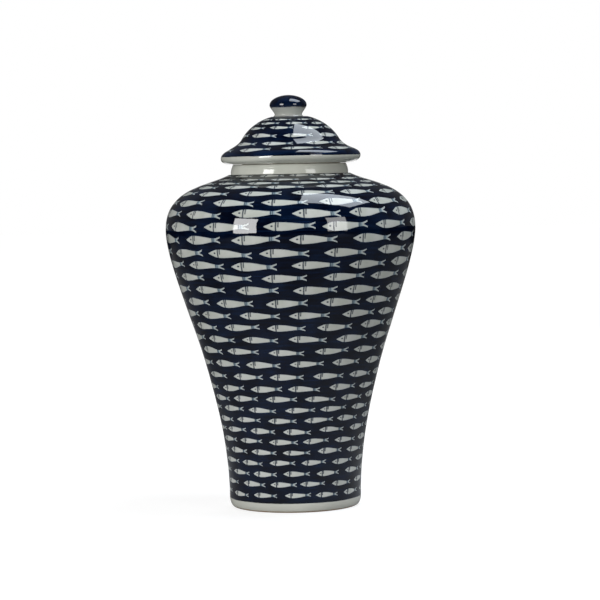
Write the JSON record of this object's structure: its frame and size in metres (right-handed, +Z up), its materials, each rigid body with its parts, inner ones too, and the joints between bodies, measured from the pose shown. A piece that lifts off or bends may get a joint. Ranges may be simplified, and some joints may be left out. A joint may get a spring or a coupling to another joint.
{
  "type": "ginger jar",
  "caption": "Tall lidded porcelain jar with a wide shoulder, a narrow foot and a short collar; the domed lid with its button knob lifts straight off.",
  "frame": {"origin": "centre of the foot ring's standing face, on the surface the jar stands on", "axes": "+Z up along the jar's axis and the way the lid lifts; -Y is the front, and the jar is round about Z"},
  "size_m": [0.278, 0.278, 0.4574],
  "materials": {
    "painted_glaze": "cobalt blue ground with rows of pale fish, under a clear glossy glaze",
    "white_glaze": "pale grey-green white, glossy glaze",
    "cobalt_glaze": "solid cobalt blue over a white waist, glossy glaze",
    "bare_porcelain": "unglazed, matt, warm white"
  },
  "bodies": {
    "jar": {"foot_ring": "white_glaze", "lower_section": "painted_glaze", "upper_section": "painted_glaze", "neck_collar": "white_glaze"},
    "lid": {"lid_dome": "painted_glaze", "lid_flange": "bare_porcelain", "lid_knob": "cobalt_glaze"}
  },
  "joints": [
    {"name": "lid_lift", "type": "slide", "parent": "jar", "child": "lid", "axis": [0, 0, 1], "range_m": [0, 0.12]}
  ]
}
